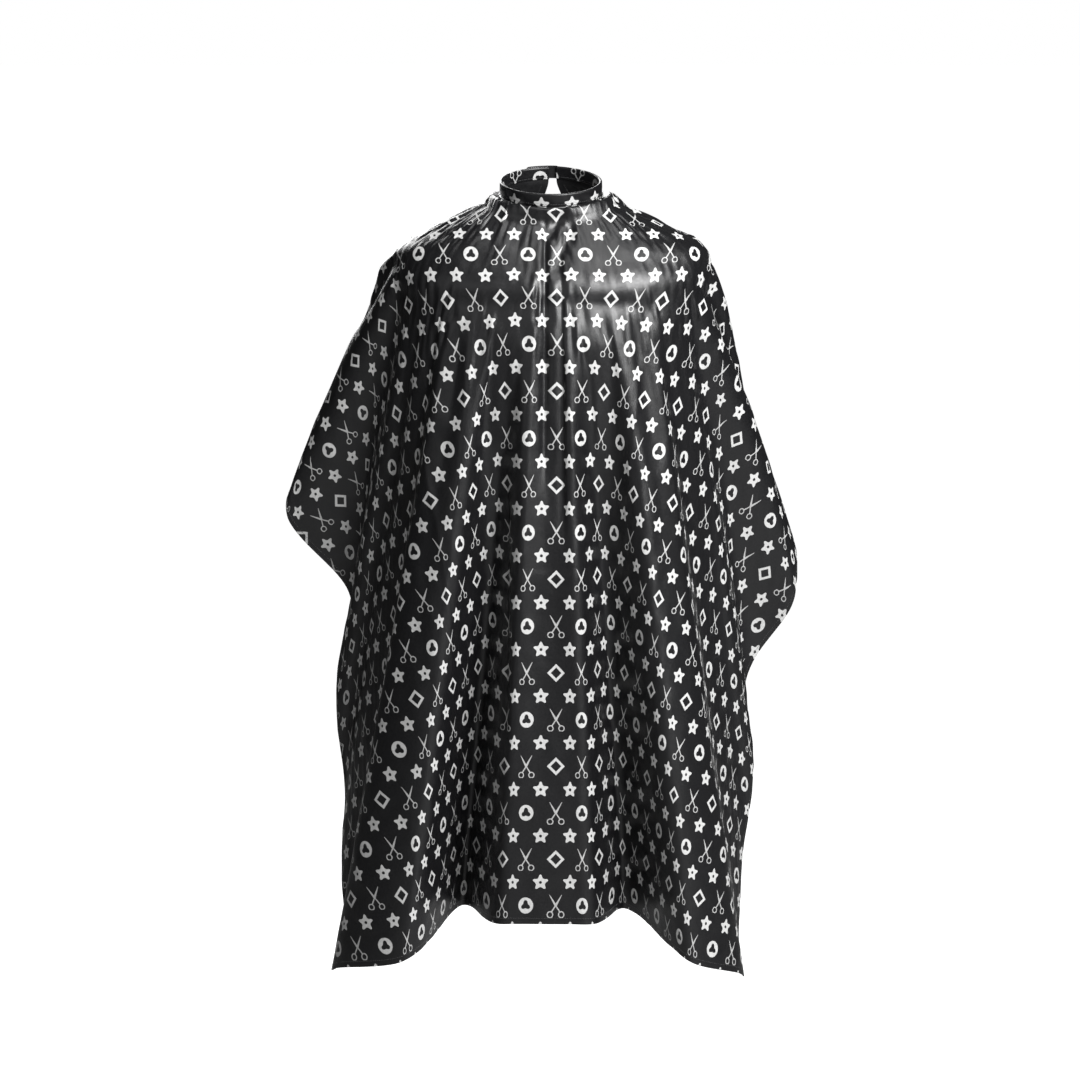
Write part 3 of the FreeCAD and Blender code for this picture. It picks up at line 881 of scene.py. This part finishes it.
def closure_tab(printed, plain):
    """The band's free end: two plies, square-ended with rounded corners."""
    azimuths = np.linspace(*TAB_AZIMUTHS, 71)
    to_end = np.radians(TAB_AZIMUTHS[1] - azimuths) * TAB_RADIUS
    inset = TAB_CORNER - np.sqrt(np.maximum(TAB_CORNER ** 2 - np.maximum(TAB_CORNER - to_end, 0) ** 2, 0))
    low, high = -BAND_HIGH + inset, -inset
    joining = ring(azimuths, BAND_MIDDLE + TAB_JOIN_LIFT)
    radii = joining + (TAB_RADIUS - joining) * ease((azimuths - TAB_AZIMUTHS[0]) / TAB_JOIN_TURN)
    piece = curved_strip("closure_tab_cloth", azimuths, radii, low, high, [printed, plain], TAB_THICK)
    bend_tab(piece, "neckband_cloth", "closure_tab")


def tab_stitches(thread):
    """A box of stitching that holds the hook patch on the tab."""
    first, last = HOOK_AZIMUTHS[0] + 0.6, HOOK_AZIMUTHS[1] - 0.8
    low, high = -BAND_HIGH + 1.9 * MM, -1.9 * MM
    along = np.linspace(first, last, 60)
    up = np.linspace(low, high, 30)
    azimuths = np.concatenate([along, np.full(30, last), along[::-1], np.full(30, first)])
    heights = np.concatenate([np.full(60, low), up, np.full(60, high), up[::-1]])
    points = neck(azimuths, TAB_RADIUS + TAB_THICK / 2, heights)
    normals = outward(points, azimuths, heights)
    piece = mesh_piece("tab_stitches", *stitches(points, normals), [thread])
    bend_tab(piece, "thread", "tab_stitching")


def pile(azimuths, heights, radius, shape, inwards, seed):
    """Many small hooks or loops on a tape; shape gives each one's (aside, up) points."""
    draw = np.random.default_rng(seed)
    grid = np.array([(a, h) for a in azimuths for h in heights])
    grid += draw.uniform(-0.25, 0.25, grid.shape) * [azimuths[1] - azimuths[0], heights[1] - heights[0]]
    roots = neck(grid[:, 0], radius, grid[:, 1])
    up = outward(roots, grid[:, 0], grid[:, 1]) * (-1 if inwards else 1)
    axis = unit(neck(0.0, 0.0, 1.0))
    sideways = unit(np.cross(up, axis))
    turn = draw.uniform(0, 2 * np.pi, len(grid))[:, None]
    aside = sideways * np.cos(turn) + axis * np.sin(turn)
    lean = np.cross(up, aside)
    paths = roots[:, None] + aside[:, None] * shape[None, :, :1] + up[:, None] * shape[None, :, 1:]
    return tubes(paths, np.broadcast_to(lean[:, None], paths.shape), PILE_THREAD, sides=4)


def pile_tape(name, azimuths, heights, radius, material, shape, inwards, seed):
    """A woven tape with its hooks or loops, which stand off its inner or outer face, as one piece."""
    step = math.degrees(PILE_PITCH / radius)
    across = np.arange(azimuths[0] + PILE_INSET, azimuths[1] - PILE_INSET, step)
    up = np.arange(heights[0] + PILE_INSET * MM, heights[1] - PILE_INSET * MM, PILE_PITCH)
    face = radius + (-1 if inwards else 1) * TAPE_BASE / 2
    fibres = pile(across, up, face, shape, inwards, seed)
    along = np.linspace(*azimuths, 41)
    low, high = (np.full(41, h) for h in heights)
    base = curved_strip(name + "_base", along, np.full(41, radius), low, high, [material], TAPE_BASE)
    vertices = np.array([v.co for v in base.data.vertices])
    faces = [list(face.vertices) for face in base.data.polygons]
    bpy.data.objects.remove(base)
    return mesh_piece(name, *joined([(vertices, faces), fibres]), [material])


def hook_patch(nylon):
    hook = np.array([(0, 0), (0, 0.35), (0.05, 0.55), (0.2, 0.68), (0.35, 0.6), (0.4, 0.45)]) * MM
    piece = pile_tape("hook_patch_tape", HOOK_AZIMUTHS, HOOK_HEIGHTS, HOOK_BASE_RADIUS,
                      nylon, hook, inwards=True, seed=0)
    bend_tab(piece, "hook_tape", "hook_patch")


def loop_strip(nylon):
    turn = np.radians(np.linspace(0, 180, 6))
    loop = stacked(0.38 * np.cos(turn), 0.5 * np.sin(turn)) * MM
    piece = pile_tape("loop_strip_tape", LOOP_AZIMUTHS, LOOP_HEIGHTS, LOOP_BASE_RADIUS,
                      nylon, loop, inwards=False, seed=1)
    bend_left(piece, "loop_tape", "loop_strip")


# ---------------- materials

class Number:
    """A node's output that takes part in ordinary arithmetic."""

    def __init__(self, tree, socket):
        self.tree = tree
        self.socket = socket

    def math(self, operation, *others):
        node = self.tree.nodes.new("ShaderNodeMath")
        node.operation = operation
        self.tree.links.new(self.socket, node.inputs[0])
        for place, other in enumerate(others, start=1):
            feed(self.tree, node.inputs[place], other)
        return Number(self.tree, node.outputs[0])

    def __add__(self, other):
        return self.math("ADD", other)

    def __sub__(self, other):
        return self.math("SUBTRACT", other)

    def __mul__(self, other):
        return self.math("MULTIPLY", other)

    def __neg__(self):
        return self * -1.0

    def square(self):
        return self * self

    def nearest(self):
        return self.math("ROUND")

    def modulo(self, count):
        return self.math("FLOORED_MODULO", count)

    def is_value(self, value):
        return self.math("COMPARE", value, 0.25)

    def clamped(self):
        return self.math("MAXIMUM", 0.0).math("MINIMUM", 1.0)


def inked(outside, edge=0.55):
    """1 where a distance in millimetres is below zero and 0 above, with a soft printed edge."""
    return (outside * (-1.0 / edge) + 0.5).clamped()


def polar(x, y):
    return (x.square() + y.square()).math("SQRT"), x.math("ARCTAN2", y)


def star_ink(x, y):
    """A plain five-pointed star with a small round hole."""
    middle, reach, sharpness, hole = 7.7, 2.0, 0.45, 1.9
    radius, turn = polar(x, y)
    edge = (turn * 5.0).math("COSINE") * reach + (turn * 10.0).math("COSINE") * sharpness + middle
    return inked(radius - edge) * inked(-radius + hole)


def diamond_ink(x, y):
    """A plain square outline on its corner."""
    outside, hole = 11.6, 7.0
    reach = x.math("ABSOLUTE") + y.math("ABSOLUTE")
    return inked(reach - outside) * inked(-reach + hole)


def ring_ink(x, y):
    """A plain disc with a rounded three-sided hole."""
    outside, middle, lobe = 10.2, 5.3, 1.5
    radius, turn = polar(x, y)
    hole = (turn * 3.0).math("COSINE") * lobe + middle
    return inked(radius - outside) * inked(-radius + hole)


def scissors_ink(x, y):
    """Open scissors, blades up: thin tapering blades, shanks and ring handles, drawn mirrored."""
    blade_half, taper, blade_long = 1.5, 0.075, 16.0
    shank_half, shank_drop = 0.75, 8.4
    handle_x, handle_y, handle_size, handle_half = 7.3, 11.3, 3.5, 0.65
    overlap, strength = 0.5, 0.8
    aside = x.math("ABSOLUTE")
    along = aside * 0.5 + y * 0.866
    across = (aside * 0.866 - y * 0.5).math("ABSOLUTE")
    blade = inked(across + along * taper - blade_half) * inked(along - blade_long) * inked(-y - overlap)
    shank_across = (aside * 0.83 + y * 0.557).math("ABSOLUTE")
    shank = inked(shank_across - shank_half) * inked(y - overlap) * inked(-y - shank_drop)
    radius = polar(aside - handle_x, y + handle_y)[0]
    handle = inked((radius - handle_size).math("ABSOLUTE") - handle_half)
    return blade.math("MAXIMUM", shank).math("MAXIMUM", handle) * strength


PRINT_ACROSS, PRINT_DOWN = 39.0, 30.0
PRINT_FIRST_ROW, PRINT_FIRST_COLUMN = 134.0, 7.5


def print_ink(x, y):
    """The all-over print: rows of stars between rows that alternate three plain motifs."""
    row_place = (-y - PRINT_FIRST_ROW) * (1.0 / PRINT_DOWN)
    row = row_place.nearest()
    local_y = (row - row_place) * PRINT_DOWN
    column_place = (x - PRINT_FIRST_COLUMN) * (1.0 / PRINT_ACROSS)
    column = column_place.nearest()
    local_x = (column_place - column) * PRINT_ACROSS
    star_place = column_place + 0.5
    star_x = (star_place - star_place.nearest()) * PRINT_ACROSS
    row_kind, column_kind = row.modulo(4.0), column.modulo(2.0)
    star_row = (row.modulo(2.0)).is_value(0.0)
    first_kind, other_kind = row_kind.is_value(1.0), row_kind.is_value(3.0)
    even, odd = column_kind.is_value(0.0), column_kind.is_value(1.0)
    stars = star_ink(star_x, local_y) * star_row
    diamonds = diamond_ink(local_x, local_y) * first_kind * even
    rings = ring_ink(local_x, local_y) * other_kind * odd
    scissors = scissors_ink(local_x, local_y) * (first_kind * odd + other_kind * even)
    return stars + diamonds + rings + scissors


def new_material(name):
    material = bpy.data.materials.new(name)
    material.use_nodes = True
    tree = material.node_tree
    shader = next(node for node in tree.nodes if node.type == "BSDF_PRINCIPLED")
    return material, tree, shader


def feed(tree, socket, value):
    """Gives an input a value of its own, or links it to another node's output."""
    if isinstance(value, Number):
        value = value.socket
    if isinstance(value, bpy.types.NodeSocket):
        tree.links.new(value, socket)
    else:
        socket.default_value = value


def set_inputs(tree, node, **inputs):
    for name, value in inputs.items():
        feed(tree, node.inputs[name.replace("_", " ")], value)


def add_node(tree, kind, **inputs):
    node = tree.nodes.new(kind)
    set_inputs(tree, node, **inputs)
    return node


def noise_number(tree, place, scale, detail=2.0):
    node = add_node(tree, "ShaderNodeTexNoise", Vector=place, Scale=scale, Detail=detail)
    return Number(tree, node.outputs["Fac"])


def mixed_colour(tree, factor, first, second):
    """A colour between two, each given as three numbers or as another node's output."""
    node = tree.nodes.new("ShaderNodeMix")
    node.data_type = "RGBA"
    tree.links.new(factor.socket, node.inputs["Factor"])
    ends = [socket for socket in node.inputs if socket.type == "RGBA"]
    for socket, colour in zip(ends, (first, second)):
        feed(tree, socket, (*colour, 1.0) if isinstance(colour, tuple) else colour)
    return next(socket for socket in node.outputs if socket.type == "RGBA")


def flat_millimetres(tree):
    """The cloth's flat x and y in millimetres, and the same place as a vector."""
    uv = tree.nodes.new("ShaderNodeUVMap")
    uv.uv_map = "flat"
    scaled = tree.nodes.new("ShaderNodeVectorMath")
    scaled.operation = "SCALE"
    set_inputs(tree, scaled, Vector=uv.outputs[0], Scale=1 / MM)
    split = add_node(tree, "ShaderNodeSeparateXYZ", Vector=scaled.outputs[0])
    return Number(tree, split.outputs[0]), Number(tree, split.outputs[1]), scaled.outputs[0]


def link_bump(tree, shader, height, distance):
    bump = add_node(tree, "ShaderNodeBump", Height=height, Distance=distance)
    set_inputs(tree, shader, Normal=bump.outputs[0])


CLOTH_BLACK, CLOTH_GREY = (0.0020, 0.0020, 0.0024), (0.0055, 0.0055, 0.0063)
INK_WHITE = (0.42, 0.42, 0.416)


def cloth_material(name, with_print):
    """Black waterproof polyester twill: a satin surface with fine diagonal ribs and soft creasing."""
    material, tree, shader = new_material(name)
    x, y, place = flat_millimetres(tree)
    rib = ((x * 0.8 + y) * (2 * math.pi / 1.15)).math("SINE")
    yarn = ((x - y * 0.6) * (2 * math.pi / 0.8)).math("SINE")
    grain = noise_number(tree, place, 0.42, 3.0)
    handling = noise_number(tree, place, 0.028, 4.0)
    height = rib * 0.012 + yarn * 0.007 + grain * 0.05 + handling * 0.7
    link_bump(tree, shader, height, 1.0 * MM)
    colour = mixed_colour(tree, grain, CLOTH_BLACK, CLOTH_GREY)
    rough = grain * 0.2 + 0.42
    if with_print:
        ink = (print_ink(x, y) * (grain * 0.5 + 0.7)).clamped()
        colour = mixed_colour(tree, ink, colour, INK_WHITE)
        rough = grain * 0.26 + 0.25 + ink * 0.2
    set_inputs(tree, shader, Base_Color=colour, Roughness=rough, Specular_IOR_Level=0.45)
    return material


def fibre_material(name, colour, variation, scale, roughness, bump, sheen=0.3):
    """Yarn, felt or tape: mottled colour and a fine fibre bump in object space."""
    material, tree, shader = new_material(name)
    place = tree.nodes.new("ShaderNodeTexCoord").outputs["Object"]
    fibre = noise_number(tree, place, scale, 3.0)
    strand = noise_number(tree, place, scale * 4, 1.0)
    lighter = tuple(min(channel * variation, 1.0) for channel in colour)
    mottled = mixed_colour(tree, fibre, colour, lighter)
    rough = strand * 0.25 + (roughness - 0.12)
    set_inputs(tree, shader, Base_Color=mottled, Roughness=rough, Sheen_Weight=sheen)
    link_bump(tree, shader, fibre * 0.6 + strand * 0.4, bump)
    return material


def ribbon_material(name):
    """Blank white satin ribbon: fine straight weave lines across and along."""
    material, tree, shader = new_material(name)
    x, y, place = flat_millimetres(tree)
    weave = (x * (2 * math.pi / 0.45)).math("SINE") * 0.5 + (y * (2 * math.pi / 0.7)).math("SINE") * 0.5
    mottle = noise_number(tree, place, 0.3, 3.0)
    colour = mixed_colour(tree, mottle, (0.74, 0.73, 0.70), (0.86, 0.85, 0.82))
    set_inputs(tree, shader, Base_Color=colour, Roughness=mottle * 0.2 + 0.35)
    link_bump(tree, shader, weave * 0.05 + mottle * 0.2, 0.3 * MM)
    return material


# ---------------- studio

PHOTO_WIDTH = 1.382
CAMERA_FAR = 6.0
CAMERA_ELEVATION = math.radians(8)
CAMERA_TARGET = Vector((-0.014, -0.10, -0.4535))
FLOOR_DROP = 0.35
FLOOR_RADIUS = 40.0
FLOOR_GREY = (0.30, 0.30, 0.30, 1.0)
WHITE = (1.0, 1.0, 1.0, 1.0)
WORLD_LIGHT = 0.05
CHEST = Vector((0.0, -0.1, -0.3))
# Name, place from the chest, diameter and power
LIGHTS = [
    ("key", (1.7, -2.2, 1.7), 1.9, 290),
    ("fill", (-2.2, -2.6, 1.2), 2.6, 16),
    ("top", (0.3, -0.5, 3.0), 1.4, 34),
    ("back", (-0.8, 2.8, 1.2), 1.8, 75),
]


def aim(thing, place, target):
    thing.location = place
    thing.rotation_mode = "QUATERNION"
    thing.rotation_quaternion = (Vector(target) - Vector(place)).to_track_quat("-Z", "Y")


def camera():
    data = bpy.data.cameras.new("camera")
    data.lens = data.sensor_width * CAMERA_FAR / PHOTO_WIDTH
    thing = add_object("camera", data)
    back = Vector((0, -math.cos(CAMERA_ELEVATION), math.sin(CAMERA_ELEVATION)))
    aim(thing, CAMERA_TARGET + back * CAMERA_FAR, CAMERA_TARGET)
    bpy.context.scene.camera = thing


def lights():
    """A strong soft light from the front right, and weak ones that open up the shadows."""
    for name, offset, size, power in LIGHTS:
        data = bpy.data.lights.new(name, "AREA")
        data.shape = "DISK"
        data.size = size
        data.energy = power
        aim(add_object(name, data), CHEST + Vector(offset), CHEST)


def seen_by_camera(tree, dim, bright):
    """A strength that is bright where the camera looks and dim where the object is lit by it."""
    path = tree.nodes.new("ShaderNodeLightPath")
    return Number(tree, path.outputs["Is Camera Ray"]) * (bright - dim) + dim


def world():
    """A white backdrop that lights the object softly."""
    scene = bpy.context.scene
    scene.world = bpy.data.worlds.new("studio")
    scene.world.use_nodes = True
    tree = scene.world.node_tree
    background = next(node for node in tree.nodes if node.type == "BACKGROUND")
    set_inputs(tree, background, Color=WHITE, Strength=seen_by_camera(tree, WORLD_LIGHT, 1.0))
    scene.view_settings.view_transform = "Standard"


def floor():
    """A plain pale floor below the cape."""
    material, tree, shader = new_material("pale_floor")
    set_inputs(tree, shader, Base_Color=FLOOR_GREY, Roughness=0.8, Emission_Color=WHITE,
               Emission_Strength=seen_by_camera(tree, 0.0, 1.0))
    sides = 64
    turn = np.linspace(0, 2 * np.pi, sides, endpoint=False)
    height = np.full(sides, cad_box[0].z - FLOOR_DROP)
    points = stacked(FLOOR_RADIUS * np.cos(turn), FLOOR_RADIUS * np.sin(turn), height)
    mesh_piece("floor", points, [list(range(sides))], [material])


# ---------------- the whole cape

printed_cloth = cloth_material("printed_twill", True)
plain_cloth = cloth_material("plain_twill", False)
black_thread = fibre_material("black_thread", (0.012, 0.012, 0.013), 2.2, 2600.0, 0.5, 0.1 * MM)
felt = fibre_material("stiffener_felt", (0.66, 0.65, 0.61), 1.25, 900.0, 0.85, 0.2 * MM)
hook_nylon = fibre_material("hook_nylon", (0.012, 0.012, 0.012), 1.8, 1500.0, 0.35, 0.05 * MM, 0.0)
loop_nylon = fibre_material("loop_nylon", (0.014, 0.014, 0.015), 2.5, 1200.0, 0.7, 0.15 * MM, 0.6)
blank_ribbon = ribbon_material("blank_ribbon")

cape = Cloth()
cape_cloth(cape, printed_cloth, plain_cloth)
hem_stitches(cape, black_thread)
care_label(cape, blank_ribbon, black_thread)
neckband(printed_cloth, plain_cloth)
interlining(felt)
neckband_stitches(black_thread)
closure_tab(printed_cloth, plain_cloth)
tab_stitches(black_thread)
hook_patch(hook_nylon)
loop_strip(loop_nylon)

camera()
lights()
world()
floor()
